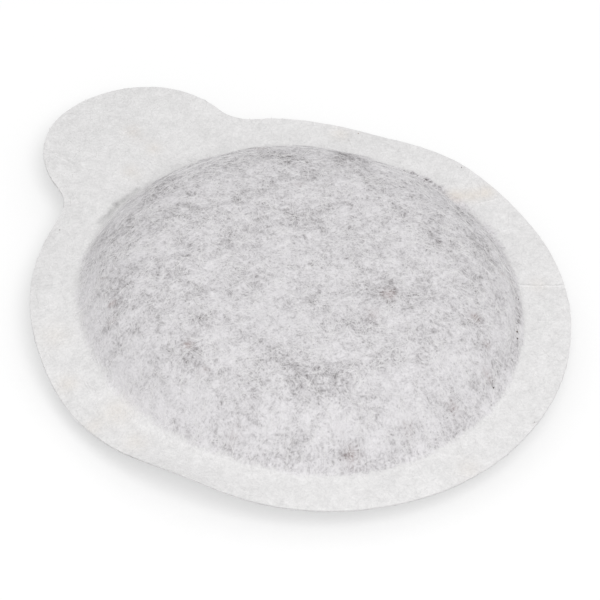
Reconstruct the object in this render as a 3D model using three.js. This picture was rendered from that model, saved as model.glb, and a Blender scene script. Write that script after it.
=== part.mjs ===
// A paper coffee pod for one 7 g dose: a round cake of pressed ground coffee between two sheets of filter
// paper, which are sealed to each other all round the cake and carry a rounded pull tab.
// Millimetres, +Z up. The origin is the centre of the flat underside, and the tab points along +Y.

import * as THREE from "three";
import { mergeGeometries, mergeVertices } from "three/addons/utils/BufferGeometryUtils.js";

// The coffee cake.
const CAKE_DIAMETER = 44;
const CROWN_HEIGHT = 6.4; // from the plane of the seal up to the top of the cake
const CROWN_FULLNESS = 5.2; // a higher power gives a flatter crown and a steeper wall
const BASE_DEPTH = 3.1; // from the plane of the seal down to the flat of the cake
const BASE_ROUNDNESS = 1.6; // a higher power keeps the underside flat for longer
const REST_DIAMETER = 33; // the flat of the underside
const CAKE_EDGE = 0.8; // height of the upright edge between the cake's two faces

// The two papers.
const PAPER_THICKNESS = 0.15;
const COFFEE_CLEARANCE = 0.06; // between the cake and each paper
const SEAL_CLEARANCE = 0.05; // between the two papers, where the real fibres are welded together
const SEAL_WIDTH = 5; // from the cake's edge to the cut edge of the disc
const FOOT_SWEEP = 0.9; // from the cake's edge to where the bent papers lie flat on each other
const TAB_RADIUS = 10.2;
const TAB_REACH = 9.7; // how far the tab stands out beyond the disc
const TAB_FILLET = 4;

// The seal and the tab have curled a little. Each wave is a bump of the cut edge, which fades to nothing at
// the foot of the dome: its bearing in degrees from +X towards +Y, its rise, and its spread to each side.
const SEAL_WAVES = [
  { bearing: 15, rise: 0.55, spread: 11 },
  { bearing: 37, rise: -0.3, spread: 8 },
  { bearing: 63, rise: 0.4, spread: 13 },
  { bearing: 90, rise: -0.9, spread: 13 },
  { bearing: 127, rise: -0.7, spread: 15 },
  { bearing: 177, rise: -1.1, spread: 16 },
  { bearing: 208, rise: 1.1, spread: 13 },
  { bearing: 265, rise: -0.4, spread: 30 },
  { bearing: 340, rise: 0.25, spread: 20 },
];

// How finely each curve is divided.
const CROWN_STEPS = 8;
const BASE_STEPS = 4;
const FOOT_STEPS = 3;
const SEAL_STEPS = 3;
const DISC_STEPS = 44;
const FILLET_STEPS = 3;
const TAB_STEPS = 10;

const CAKE_RADIUS = CAKE_DIAMETER / 2;
const REST_RADIUS = REST_DIAMETER / 2;
const DISC_RADIUS = CAKE_RADIUS + SEAL_WIDTH;
const SEAL_START = CAKE_RADIUS + FOOT_SWEEP;
const SEAL_HEIGHT = PAPER_THICKNESS + COFFEE_CLEARANCE + BASE_DEPTH;
const LEVEL_WITHIN = 1e-9; // a slope under this is rounding, and counts as level

// The cut edge seen from above, as points that run once round it: the disc, the round end of the tab, and
// a hollow fillet on each side between them. A fillet's centre lies its own radius off both circles.
function outline() {
  const tabCentre = DISC_RADIUS + TAB_REACH - TAB_RADIUS;
  const discToFillet = DISC_RADIUS + TAB_FILLET;
  const tabToFillet = TAB_RADIUS + TAB_FILLET;
  const filletY = (discToFillet ** 2 - tabToFillet ** 2 + tabCentre ** 2) / (2 * tabCentre);
  const filletX = Math.sqrt(discToFillet ** 2 - filletY ** 2);
  const discTouch = Math.atan2(filletY, filletX);
  const tabTouch = Math.atan2(filletY - tabCentre, filletX);

  const arc = (x, y, radius, from, to, clockwise, steps) =>
    new THREE.EllipseCurve(x, y, radius, radius, from, to, clockwise).getSpacedPoints(steps).slice(0, -1);
  return [
    ...arc(0, 0, DISC_RADIUS, Math.PI - discTouch, 2 * Math.PI + discTouch, false, DISC_STEPS),
    ...arc(filletX, filletY, TAB_FILLET, Math.PI + discTouch, Math.PI + tabTouch, true, FILLET_STEPS),
    ...arc(0, tabCentre, TAB_RADIUS, tabTouch, Math.PI - tabTouch, false, TAB_STEPS),
    ...arc(-filletX, filletY, TAB_FILLET, -tabTouch, -discTouch, true, FILLET_STEPS),
  ];
}

// A section is a list of points (radius, height above the plane of the seal), from the axis outwards.

// The cake's upper face: a crown that falls ever faster towards the edge.
function crownSection() {
  const edge = CAKE_EDGE / 2;
  const points = [];
  for (let step = 0; step <= CROWN_STEPS; step++) {
    const share = Math.sin((Math.PI / 2) * (step / CROWN_STEPS));
    const height = edge + (CROWN_HEIGHT - edge) * (1 - share ** CROWN_FULLNESS);
    points.push(new THREE.Vector2(share * CAKE_RADIUS, height));
  }
  return points;
}

// The cake's lower face: flat in the middle, then rounded up to the edge.
function baseSection() {
  const edge = CAKE_EDGE / 2;
  const points = [new THREE.Vector2(0, -BASE_DEPTH)];
  for (let step = 0; step <= BASE_STEPS; step++) {
    const share = step / BASE_STEPS;
    const radius = REST_RADIUS + share * (CAKE_RADIUS - REST_RADIUS);
    const height = -edge - (BASE_DEPTH - edge) * (1 - share ** BASE_ROUNDNESS);
    points.push(new THREE.Vector2(radius, height));
  }
  return points;
}

// A section moved off its own surface by a distance, upwards where it is positive. The point on the axis
// and the ends of a level stretch move straight up or down, so the axis is kept and the level stays level.
function offsetSection(section, distance) {
  const level = new THREE.Vector2(1, 0);
  return section.map((point, index) => {
    const inward = index > 0 ? point.clone().sub(section[index - 1]).normalize() : level;
    const outward = section[index + 1] ? section[index + 1].clone().sub(point).normalize() : inward;
    const endsLevel = Math.min(Math.abs(inward.y), Math.abs(outward.y)) < LEVEL_WITHIN;
    const along = endsLevel ? level : inward.clone().add(outward).normalize();
    return new THREE.Vector2(point.x - along.y * distance, point.y + along.x * distance);
  });
}

// The face of a paper that lies against the coffee, carried on over the foot and out to the cut edge.
// `side` is 1 above the plane of the seal and -1 below it.
function paperSection(cakeSection, side) {
  const againstCake = offsetSection(cakeSection, side * COFFEE_CLEARANCE);
  const sealFace = (side * SEAL_CLEARANCE) / 2;
  const rim = againstCake.at(-1);
  const wall = rim.clone().sub(againstCake.at(-2));
  const corner = new THREE.Vector2(rim.x + (wall.x / wall.y) * (sealFace - rim.y), sealFace);
  const footEnd = new THREE.Vector2(SEAL_START, sealFace);
  const foot = new THREE.QuadraticBezierCurve(rim, corner, footEnd).getPoints(FOOT_STEPS).slice(1);
  const seal = new THREE.LineCurve(footEnd, new THREE.Vector2(DISC_RADIUS, sealFace));
  return [...againstCake, ...foot, ...seal.getPoints(SEAL_STEPS).slice(1)];
}

// How far the cut edge has curled up or down at a bearing in radians.
function sealWave(bearing) {
  let rise = 0;
  for (const wave of SEAL_WAVES) {
    const turn = bearing - THREE.MathUtils.degToRad(wave.bearing);
    const apart = Math.atan2(Math.sin(turn), Math.cos(turn));
    rise += wave.rise * Math.exp(-((apart / THREE.MathUtils.degToRad(wave.spread)) ** 2));
  }
  return rise;
}

// A section's point in one direction of the outline. Within the dome it keeps its radius. In the seal it is
// stretched so that the disc's radius reaches the cut edge, and it rises with the wave.
function placePoint(point, cutPoint) {
  const bearing = Math.atan2(cutPoint.y, cutPoint.x);
  const share = Math.max(0, (point.x - SEAL_START) / (DISC_RADIUS - SEAL_START));
  const radius = point.x + share * (cutPoint.length() - DISC_RADIUS);
  const height = SEAL_HEIGHT + point.y + share ** 2 * sealWave(bearing);
  return new THREE.Vector3(radius * Math.cos(bearing), radius * Math.sin(bearing), height);
}

// One face of a piece: its section turned round the axis, with each column of points set on the outline.
function faceOf(section, facesUp) {
  const face = new THREE.LatheGeometry(section, CUT_EDGE.length);
  face.deleteAttribute("normal");
  face.deleteAttribute("uv");
  const position = face.getAttribute("position");
  for (let column = 0; column <= CUT_EDGE.length; column++) {
    const cutPoint = CUT_EDGE[column % CUT_EDGE.length];
    section.forEach((point, row) => {
      const place = placePoint(point, cutPoint);
      position.setXYZ(column * section.length + row, place.x, place.y, place.z);
    });
  }
  if (facesUp) {
    face.setIndex([...face.getIndex().array].reverse());
  }
  return face;
}

// A closed piece between a lower and an upper section, joined by its upright edge.
function pieceBetween(name, lower, upper, material) {
  const faces = [faceOf(lower, false), faceOf([lower.at(-1), upper.at(-1)], false), faceOf(upper, true)];
  const geometry = mergeVertices(mergeGeometries(faces));
  geometry.computeVertexNormals();
  const mesh = new THREE.Mesh(geometry, material);
  mesh.name = name;
  return mesh;
}

const CUT_EDGE = outline();
const crown = crownSection();
const base = baseSection();
const paperOnCrown = paperSection(crown, 1);
const paperUnderBase = paperSection(base, -1);

const filterPaper = new THREE.MeshStandardMaterial({ color: 0xe6e5e3, roughness: 0.92, metalness: 0 });
const groundCoffee = new THREE.MeshStandardMaterial({ color: 0x3a281d, roughness: 0.95, metalness: 0 });

const pod = new THREE.Group();
pod.add(
  pieceBetween("coffee_puck", base, crown, groundCoffee),
  pieceBetween(
    "upper_filter_paper",
    paperOnCrown,
    offsetSection(paperOnCrown, PAPER_THICKNESS),
    filterPaper,
  ),
  pieceBetween(
    "lower_filter_paper",
    offsetSection(paperUnderBase, -PAPER_THICKNESS),
    paperUnderBase,
    filterPaper.clone(),
  ),
);

export default pod;
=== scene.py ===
"""A paper coffee pod: pressed coffee between two sheets of filter paper, with a rounded pull tab."""

import math

import bpy
import numpy as np
from mathutils import Matrix, Vector
from mathutils.bvhtree import BVHTree


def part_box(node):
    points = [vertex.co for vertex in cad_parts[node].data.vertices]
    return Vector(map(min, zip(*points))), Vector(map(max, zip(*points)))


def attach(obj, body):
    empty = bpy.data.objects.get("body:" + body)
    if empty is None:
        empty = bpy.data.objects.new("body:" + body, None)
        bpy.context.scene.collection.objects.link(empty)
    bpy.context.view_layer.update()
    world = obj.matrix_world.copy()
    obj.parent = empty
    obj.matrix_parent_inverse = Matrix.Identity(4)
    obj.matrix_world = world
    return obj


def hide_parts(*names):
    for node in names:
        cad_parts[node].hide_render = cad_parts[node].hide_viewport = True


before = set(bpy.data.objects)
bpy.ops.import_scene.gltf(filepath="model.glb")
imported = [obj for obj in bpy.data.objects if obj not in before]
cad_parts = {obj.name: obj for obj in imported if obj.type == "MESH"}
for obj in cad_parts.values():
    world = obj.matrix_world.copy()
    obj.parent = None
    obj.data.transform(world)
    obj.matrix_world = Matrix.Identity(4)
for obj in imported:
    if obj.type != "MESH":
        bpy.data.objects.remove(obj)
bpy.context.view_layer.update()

bl_info = {
    "name": "Paper coffee pod",
    "version": (1, 0, 0),
    "blender": (4, 5, 0),
    "location": "3D View > Sidebar > Coffee pod",
    "description": "Papers, coffee, loose fibres and studio for a sealed paper coffee pod",
    "category": "Add Mesh",
}

MM = 0.001

# Driving sizes in millimetres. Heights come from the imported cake, whose crown stands this far over the seal.
CAKE_RADIUS = 22.0
CROWN_HEIGHT = 6.4
CROWN_FULLNESS = 5.2
REST_RADIUS = 16.5
BASE_ROUNDNESS = 1.6
CAKE_EDGE = 0.8
CAKE_GAP = 0.06
SEAL_WIDTH = 5.0
FOOT_SWEEP = 0.9
TAB_RADIUS = 10.2
TAB_REACH = 9.7
TAB_FILLET = 4.0

CAKE_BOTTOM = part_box("coffee_puck")[0].z / MM
SEAL_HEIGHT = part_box("coffee_puck")[1].z / MM - CROWN_HEIGHT
BASE_DEPTH = SEAL_HEIGHT - CAKE_BOTTOM
DISC_RADIUS = CAKE_RADIUS + SEAL_WIDTH
SEAL_START = CAKE_RADIUS + FOOT_SWEEP

# Bumps of the cut edge, where the seal has curled: bearing in degrees, rise and spread in degrees.
SEAL_WAVES = [
    (15, 0.55, 11),
    (37, -0.3, 8),
    (63, 0.4, 13),
    (90, -0.9, 13),
    (127, -0.7, 15),
    (177, -1.1, 16),
    (208, 1.1, 13),
    (265, -0.4, 30),
    (340, 0.25, 20),
]

# Where the coffee ends under the upper paper: bearing in degrees, radius, and how softly it ends. From bearing
# 352 round to 20 it is carried out past the foot, where it lays painted shade on the seal beside the dome.
COFFEE_AND_SHADE_EDGE = [
    (0, 23.1, 2.6),
    (10, 23.2, 2.8),
    (20, 23.6, 1.2),
    (40, 22.6, 1.4),
    (80, 22.5, 1.4),
    (100, 22.3, 1.2),
    (114, 21.7, 1.2),
    (128, 22.3, 2.0),
    (140, 22.2, 2.4),
    (160, 22.1, 2.4),
    (180, 22.2, 1.9),
    (195, 22.3, 1.4),
    (210, 22.2, 1.2),
    (230, 22.4, 1.2),
    (250, 22.8, 1.3),
    (270, 22.6, 1.3),
    (290, 22.5, 1.2),
    (310, 22.3, 1.1),
    (330, 22.2, 1.2),
    (342, 22.5, 1.6),
    (352, 23.1, 2.6),
]

# How fine the turned sheets are, the angle in degrees under which faces are shaded as one, and the least
# weight that keeps a vertex in its group.
COLUMNS = 480
RING_SPACING = 0.33
CAKE_COLUMNS = 180
CAKE_SPACING = 0.55
CURVE_POINTS = 400
FOOT_POINTS = 40
WELD_DISTANCE = 1e-6
SMOOTH_ANGLE = 40
LEAST_WEIGHT = 0.001

# Sizes and heights of the unevenness that the coffee gives each sheet, which fades from this far inside the
# cake's edge, and of the seal's own, which grows over this width. The cake's grains stand this high.
UPPER_RELIEF = [(3.0, 0.3), (0.9, 0.08)]
LOWER_RELIEF = [(0.9, 0.05)]
COFFEE_RELIEF_FADE = 1.2
SEAL_RELIEF = [(5.0, 0.16), (1.7, 0.05)]
SEAL_RELIEF_FADE = 1.0
GRAIN_RELIEF = 0.25

# The sheet's formation, as sizes and roughness: clouds of thick and thin stock, flocs within them, and
# single fibre ends.
FORMATION = [("clouds", 3.0, 0.6), ("flocs", 0.9, 0.7), ("ends", 0.26, 0.8)]

# The sheet's fibres, as sizes along x, y and z, and the directions in which they are turned: the uppermost
# ones, the web within the sheet, and the streaks of the wall. Real fibres are about 0.02 mm wide and pores
# about 0.05 mm, both too fine to show, so they are drawn this coarse.
TOP_FIBRE = (1.9, 0.24, 0.7)
TOP_TURNS = (8, 71, 128)
WEB_FIBRE = (1.5, 0.17, 0.4)
WEB_TURNS = (15, 62, 101, 152)
STREAK_UP = (0.34, 0.34, 1.8)
STREAK_ROUND = (2.6, 2.6, 0.25)
PORE_SPACING = 0.36
WAVER = 1.6

# What each layer of the sheet does to it: how much it thins it, lightens it and stands up, in these columns.
THINS, LIGHTENS, RISES = range(3)
LAYERS = {
    "clouds": (-2.6, 0.16, 0.0),
    "flocs": (-2.6, 0.23, 0.8),
    "ends": (-2.0, 0.33, 0.6),
    "web": (-1.9, 0.06, 0.5),
    "streaks": (-2.4, 0.0, 0.7),
    "fibres": (-0.6, 0.0, 0.25),
    # A crease's lightening is painted highlight on a ridge and painted shade in a valley.
    "creases": (0.0, 0.08, 0.8),
}

# How strongly pores, brown grains and cream marks show, and the share of grains that are chaff.
PORE_SHOWS = 0.4
GRAIN_SHOWS = 0.5
BROWN_SHARE = 0.9
CREAM_SHARE = 0.4
CHAFF_SHARE = 0.07

# The wall of the dome, as the radii between which it begins and between which it runs out into the foot, and
# the arcs where the wet sheet was drawn up it and round it, as first and last bearing and how many degrees
# each end takes to fade.
WALL_BEGINS = (17.5, 20.5)
WALL_ENDS = (22.3, 23.2)
DRAWN_UP_ARC = (175, 305, 25, 20)
DRAWN_ROUND_ARCS = [(290, 420, 22, 40), (110, 205, 25, 30)]

# Soft patches of the upper paper, as x, y, spread and strength. The coffee shows more where strength is
# positive, and the paper is thicker where it is negative.
CROWN_PATCHES = [
    (7.9, 14.1, 2.4, 0.9),
    (13.6, 11.3, 2.2, 0.9),
    (-3.5, 17.8, 1.8, 0.8),
    (3.5, 16.6, 1.6, 0.7),
    (-9.3, 16.4, 1.8, 0.8),
    (18.8, -5.0, 1.6, 0.8),
    (20.1, -0.6, 1.5, 0.7),
    (-16.1, -1.9, 1.4, 0.9),
    (4.7, -7.1, 1.7, 0.9),
    (-8.6, -12.2, 2.0, 0.8),
    (-9.0, -8.1, 1.6, 0.8),
    (-0.1, -10.0, 1.7, 0.8),
    (3.7, 6.3, 2.0, 0.7),
    (-17.7, 7.4, 1.6, 0.7),
    (-7.9, -3.4, 2.4, -0.9),
    (10.9, -13.9, 1.6, 0.4),
    (-12.7, 0.1, 1.5, 0.6),
    (4.5, -17.8, 2.0, -0.8),
    (-2.6, -17.9, 2.2, -0.8),
    (-5.1, -13.6, 1.6, 0.7),
    (13.8, -3.6, 1.6, 0.6),
    (-13.3, -16.0, 1.5, 0.6),
    (-18.0, -6.4, 2.0, -0.5),
    (12.1, 1.1, 1.6, 0.6),
    (-8.5, 19.1, 1.6, -1.3),
    (-8.9, -20.2, 1.2, 0.7),
    (-17.2, 10.8, 1.0, 0.6),
    (-19.9, 6.6, 0.9, 0.9),
    (-20.9, 3.6, 0.9, 0.9),
    (-21.0, -1.6, 0.9, 0.9),
    (-20.1, -6.4, 0.9, 0.8),
    (10.2, -16.5, 1.0, 0.6),
    (8.6, -18.6, 0.8, 0.6),
]

# Rings round the foot, as radius, spread, first and last bearing, rise and strength. A positive strength shows
# more coffee and a negative one less. On the right a lighter lip stands over a groove where fine coffee has
# gathered; the lip is also painted lighter, as painted highlight, and the groove's dark is partly painted
# shade.
# Behind the dome the shoulder stands proud over a fold, whose dark line is painted shade, and at the foot on
# the far right a dark line with no rise is painted shadow alone. The wall from the left round to the front is
# painted lighter, as painted light, and in front there is a low ridge just outside the coffee. Then the
# columns of rise and strength, how many degrees each end of a ring takes to fade, and the groove's streaks.
FOOT_RINGS = [
    (20.3, 1.8, 165, 320, 0.0, -0.4),
    (20.5, 0.42, 306, 372, 0.22, -1.0),
    (21.55, 0.38, 298, 352, -0.2, 0.65),
    (21.2, 0.38, 344, 372, -0.12, 0.7),
    (23.3, 0.35, 8, 34, 0.0, 1.2),
    (19.3, 2.2, 5, 125, 0.32, 0.0),
    (21.7, 0.3, 94, 120, 0.12, -0.6),
    (22.5, 0.28, 94, 118, -0.14, 0.8),
    (20.8, 1.6, 128, 212, 0.0, -0.5),
    (21.3, 0.9, 136, 200, 0.06, -0.7),
    (22.7, 0.8, 130, 202, 0.32, 0.0),
    (23.1, 0.35, 195, 285, 0.07, 0.0),
]
RING_RISE = 4
RING_STRENGTH = 5
RING_FADE = 12
GROOVE_BEGINS = (20.5, 21.2)
GROOVE_STREAKS = 3.5

# Brown grains right under the upper paper, as x, y, spread and strength. A few strayed into the tab.
BROWN_GRAINS = [
    (-17.6, 8.3, 0.35, 1.0),
    (-18.8, 6.6, 0.35, 0.7),
    (-16.0, 11.9, 0.5, 0.5),
    (-15.9, -1.8, 0.45, 1.0),
    (-16.3, -5.1, 0.5, 0.5),
    (4.3, -7.8, 0.7, 0.8),
    (1.5, -9.1, 0.8, 0.6),
    (10.7, -13.7, 0.6, 0.7),
    (10.2, -16.5, 0.4, 0.6),
    (8.5, -18.8, 0.6, 0.7),
    (3.0, -20.5, 0.6, 0.7),
    (-2.7, -20.3, 0.7, 0.5),
    (-8.9, -19.5, 0.8, 0.6),
    (-8.9, -17.3, 0.5, 0.4),
    (-17.3, -11.6, 0.7, 0.5),
    (7.5, 17.4, 0.6, 0.5),
    (6.3, 9.3, 0.6, 0.5),
    (18.1, -9.1, 0.4, 0.8),
    (18.9, -9.4, 0.3, 0.8),
    (20.1, -5.1, 0.35, 0.7),
    (20.1, -6.4, 0.3, 0.7),
    (1.3, 30.5, 0.4, 0.6),
    (1.5, 28.0, 0.3, 0.6),
    (-2.5, 25.1, 0.35, 0.6),
    (-5.4, 24.0, 0.3, 0.5),
]

# Cream marks on the seal, as x, y, spread and strength.
CREAM_MARKS = [
    (-23.8, -1.4, 1.5, 0.5),
    (-26.4, -1.2, 0.9, 0.4),
    (-25.3, 4.7, 1.0, 0.5),
    (-22.8, 10.4, 1.6, 0.3),
    (-24.6, -5.6, 1.2, 0.4),
    (23.0, 4.2, 0.9, 1.0),
    (24.5, 3.3, 0.9, 0.7),
    (25.9, 2.8, 0.8, 0.8),
    (-2.7, 24.9, 0.9, 0.4),
    (1.0, 29.6, 0.9, 0.5),
    (1.3, 26.6, 0.8, 0.5),
    (18.7, 17.9, 0.9, 0.4),
    (22.1, -10.3, 0.9, 0.3),
    (0.7, -26.0, 1.2, 0.3),
]

# Creases of the upper paper, as two ends, a width and how far each stands up. The same rise also paints a
# ridge lighter, as painted highlight, and a valley darker, as painted shade; the last two are the dark fold
# behind the dome on the left.
CREASES = [
    ((24.3, 2.1), (26.6, 1.4), 0.2, 1.0),
    ((20.4, -9.2), (22.4, -10.7), 0.22, 1.4),
    ((22.4, -10.7), (24.0, -11.8), 0.22, 1.4),
    ((23.5, -2.2), (26.8, -3.0), 0.2, 0.6),
    ((22.7, -6.7), (24.3, -7.2), 0.2, 0.6),
    ((18.4, -13.8), (20.9, -15.6), 0.18, 0.5),
    ((-15.9, 19.4), (-14.0, 17.9), 0.16, 0.5),
    ((-7.8, 31.9), (-7.0, 29.1), 0.22, 0.9),
    ((-9.6, 20.9), (-6.8, 22.0), 0.5, -2.6),
    ((-6.8, 22.0), (-3.7, 22.7), 0.45, -2.2),
]

# Loose specks of coffee, as x, y and diameter, in the groove at the foot and on the cut edge.
SPECKS = [
    (15.5, -15.0, 0.24),
    (15.1, -15.6, 0.18),
    (16.1, -14.2, 0.12),
    (8.6, -19.8, 0.21),
    (8.9, -19.3, 0.13),
    (18.6, -11.4, 0.12),
    (10.0, -24.8, 0.1),
    (20.4, 17.0, 0.1),
    (25.8, 6.8, 0.1),
    (-13.5, 22.4, 0.1),
]

# How rough the specks are, as shares of their radius, how flat they are, and how far their middles stand
# up, as a share of their diameter.
SPECK_ROUGHNESS = (0.7, 1.25)
SPECK_FLATNESS = 0.7
SPECK_RISE = 0.2

# The few long fibres that stand out, as the places that each passes over.
LONG_FIBRES = [
    [(-17.8, -11.6), (-17.9, -12.4), (-18.1, -12.6), (-18.4, -12.8)],
    [(-18.6, 10.8), (-19.0, 11.0), (-19.3, 11.1)],
    [(-16.6, 8.5), (-16.0, 8.6), (-15.5, 8.5)],
    [(-15.8, 5.4), (-15.2, 5.3), (-14.7, 5.2)],
    [(-14.1, 14.3), (-13.6, 13.7), (-13.0, 12.9), (-12.3, 11.9), (-11.8, 10.6)],
    [(12.9, -10.7), (13.3, -11.5), (13.6, -12.5)],
    [(16.0, -8.6), (16.2, -9.0), (16.2, -9.6)],
]

# Where loose fibres start: the radii at which the crown, the wall and the seal end, and how far a start
# strays off the middle of its face. The rim's own narrow faces get none, as their normals' z is under this.
CROWN_END = 18.5
WALL_END = 22.8
SEAL_END = 37
SCATTER = 0.1
OUTWARD = 0.2

# How they lie, with angles in radians: their lengths as shares of the usual one, their tips as a share of
# their radius, how far they stray, curl at each step and waver, the bearings between which they run up the
# wall, and the normal's z under which a sheet counts as wall.
FIBRE_LENGTHS = (0.35, 1.5)
FIBRE_TIP = 0.4
STRAY = 0.45
CURL = 0.22
CURL_WAVER = 0.16
RUN_UP = (185, 300)
WALL_NORMAL = 0.9

# Torn fibres of the cut edge: their lengths, how deep they are rooted, how far from the middle of the sheets
# they stand, and how they sweep along the edge, rise and bend.
EDGE_LENGTH = (0.1, 0.4)
EDGE_ROOT = 0.1
EDGE_OFFSET = 0.06
EDGE_SWEEP = 1.1
EDGE_RISE = 0.2
EDGE_BEND = 0.25

# A height above the whole pod, in metres, from which places are looked for on the upper paper.
ABOVE = 0.02

# The camera of the photograph: its angles in degrees, its distance, its nearest sight and its scale.
CAMERA_ELEVATION = 45.245
CAMERA_TURN = 42.0
CAMERA_ROLL = 6.516
CAMERA_DISTANCE = 0.6
NEAR_CLIP = 0.01
PIXELS_PER_MM = 10.0433
FRAME_PIXELS = 600
DISC_CENTRE_PIXEL = (301.14, 309.81)
SENSOR_MM = 36.0

# The studio in metres: the floor, the distances over which its glow grows, and the lamp.
FLOOR_SIZE = 6.0
GLOW_GROWS = (0.1, 0.8)
LAMP_PLACE = (-0.13, -0.28, 0.5)
LAMP_SIZE = 0.45

SEEDS = {"crown": 11, "wall": 23, "seal": 37, "underside": 41, "edge": 53, "specks": 67}


def linear(text):
    """A colour written as sRGB hex, as the linear colour that shaders take."""
    channels = [int(text[at : at + 2], 16) / 255 for at in (1, 3, 5)]
    return tuple(c / 12.92 if c <= 0.04045 else ((c + 0.055) / 1.055) ** 2.4 for c in channels)


def with_alpha(colour):
    """A colour setting with its alpha, as a colour socket takes it."""
    return (*colour, 1.0)


# Cream marks, the veil of scattered light, grains close under the sheet, chaff, and the painted shade of the
# pits between grains.
CREAM = with_alpha(linear("#EBDCC9"))
VEILED = with_alpha(linear("#6E4B89"))
BROWN = with_alpha(linear("#7C4939"))
CHAFF = with_alpha(linear("#A98A63"))
PIT_SHADE = with_alpha(linear("#120B07"))


def smooth_step(values, start, end):
    """0 before start, 1 after end, and a smooth rise between them."""
    share = np.clip((values - start) / (end - start), 0, 1)
    return share * share * (3 - 2 * share)


def even_points(path, count):
    """Points at even steps along a path, both ends among them."""
    lengths = np.concatenate([[0], np.cumsum(np.linalg.norm(np.diff(path, axis=0), axis=1))])
    at = np.linspace(0, lengths[-1], count)
    return np.stack([np.interp(at, lengths, path[:, axis]) for axis in range(path.shape[1])], 1)


def crown_height(radii):
    """Height of the cake's upper face above the plane of the seal."""
    edge = CAKE_EDGE / 2
    return edge + (CROWN_HEIGHT - edge) * (1 - (radii / CAKE_RADIUS) ** CROWN_FULLNESS)


def base_height(radii):
    """Height of the cake's lower face, which is below the plane of the seal."""
    edge = CAKE_EDGE / 2
    share = np.clip((radii - REST_RADIUS) / (CAKE_RADIUS - REST_RADIUS), 0, 1)
    return -edge - (BASE_DEPTH - edge) * (1 - share**BASE_ROUNDNESS)


def cake_face(height, side, distance):
    """A face of the cake as a section, moved off the cake by a distance along its own surface normal."""
    radii = np.linspace(0, CAKE_RADIUS, CURVE_POINTS)
    face = np.stack([radii, height(radii)], 1)
    along = np.gradient(face, axis=0)
    along /= np.linalg.norm(along, axis=1, keepdims=True)
    along[0] = (1, 0)
    return face + side * distance * np.stack([-along[:, 1], along[:, 0]], 1)


def paper_section(height, side, settings):
    """The outer face of a paper, from the axis over the cake and round its foot to the cut edge."""
    face = cake_face(height, side, CAKE_GAP + settings.thickness / MM)
    seal_face = side * settings.pressed_thickness / MM
    rim = face[-1]
    wall = face[-1] - face[-2]
    corner = rim + wall * (seal_face - rim[1]) / wall[1]
    foot_end = np.array([SEAL_START, seal_face])
    along = np.linspace(0, 1, FOOT_POINTS)[1:, None]
    foot = (1 - along) ** 2 * rim + 2 * along * (1 - along) * corner + along**2 * foot_end
    section = np.vstack([face, foot, [(DISC_RADIUS, seal_face)]])
    length = np.linalg.norm(np.diff(section, axis=0), axis=1).sum()
    return even_points(section, round(length / RING_SPACING))


def arc(centre, radius, start, end):
    """Points along an arc of a circle, from one angle to another."""
    turns = np.linspace(start, end, CURVE_POINTS)
    return np.stack([centre[0] + radius * np.cos(turns), centre[1] + radius * np.sin(turns)], 1)


def cut_edge(columns):
    """The cut edge seen from above: the disc, the round tab and a hollow fillet on each side."""
    tab_y = DISC_RADIUS + TAB_REACH - TAB_RADIUS
    to_disc = DISC_RADIUS + TAB_FILLET
    to_tab = TAB_RADIUS + TAB_FILLET
    fillet_y = (to_disc**2 - to_tab**2 + tab_y**2) / (2 * tab_y)
    fillet_x = math.sqrt(to_disc**2 - fillet_y**2)
    disc_touch = math.atan2(fillet_y, fillet_x)
    tab_touch = math.atan2(fillet_y - tab_y, fillet_x)
    path = np.vstack(
        [
            arc((0, 0), DISC_RADIUS, math.pi - disc_touch, math.tau + disc_touch),
            arc((fillet_x, fillet_y), TAB_FILLET, math.pi + disc_touch, math.pi + tab_touch)[1:],
            arc((0, tab_y), TAB_RADIUS, tab_touch, math.pi - tab_touch)[1:],
            arc((-fillet_x, fillet_y), TAB_FILLET, -tab_touch, -disc_touch)[1:],
        ]
    )
    points = even_points(path, columns + 1)[:-1]
    return np.roll(points, -np.argmin(np.abs(np.arctan2(points[:, 1], points[:, 0]))), axis=0)


def seal_wave(bearings):
    """How far the cut edge has curled up or down at each bearing, in radians."""
    rise = np.zeros_like(bearings)
    for bearing, height, spread in SEAL_WAVES:
        turn = bearings - math.radians(bearing)
        apart = np.arctan2(np.sin(turn), np.cos(turn))
        rise += height * np.exp(-((apart / math.radians(spread)) ** 2))
    return rise


def coffee_and_shade_edge(bearings):
    """How far out the coffee reaches at each bearing, in radians, and over what width it ends.
    Past the foot on the right this reach is painted shade.
    """
    places, radii, widths = np.array(COFFEE_AND_SHADE_EDGE).T
    degrees = np.degrees(bearings) % 360
    return np.interp(degrees, places, radii, period=360), np.interp(degrees, places, widths, period=360)


def along_arc(degrees, first, last, fade_in, fade_out):
    """1 between two bearings, fading in after the first and out before the last."""
    along = (degrees - first) % 360
    fade = 1 - smooth_step(along, last - first - fade_out, last - first)
    return smooth_step(along, 0, fade_in) * fade


def rings(radius, degrees, column):
    """The sum of the foot's soft rings, each as strong as one column of their list says."""
    total = np.zeros(len(radius))
    for ring in FOOT_RINGS:
        middle, spread, first, last = ring[:4]
        fade = along_arc(degrees, first, last, RING_FADE, RING_FADE)
        total += ring[column] * fade * np.exp(-(((radius - middle) / spread) ** 2))
    return total


def spots(points, places):
    """The sum of soft round spots, each given by its x, y, spread and strength."""
    total = np.zeros(len(points))
    for x, y, spread, strength in places:
        apart = np.hypot(points[:, 0] - x, points[:, 1] - y)
        total += strength * np.exp(-((apart / spread) ** 2))
    return total


def select_only(piece):
    """Select one piece alone and make it active."""
    bpy.ops.object.select_all(action="DESELECT")
    piece.select_set(True)
    bpy.context.view_layer.objects.active = piece


def start_piece(name):
    """Add a small plane at the origin and leave it in edit mode, all selected, under the piece's name."""
    bpy.ops.object.select_all(action="DESELECT")
    bpy.ops.mesh.primitive_plane_add(size=MM)
    piece = bpy.context.object
    piece.name = name
    piece.data.name = name
    bpy.ops.object.mode_set(mode="EDIT")
    bpy.ops.mesh.select_all(action="SELECT")
    return piece


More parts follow.
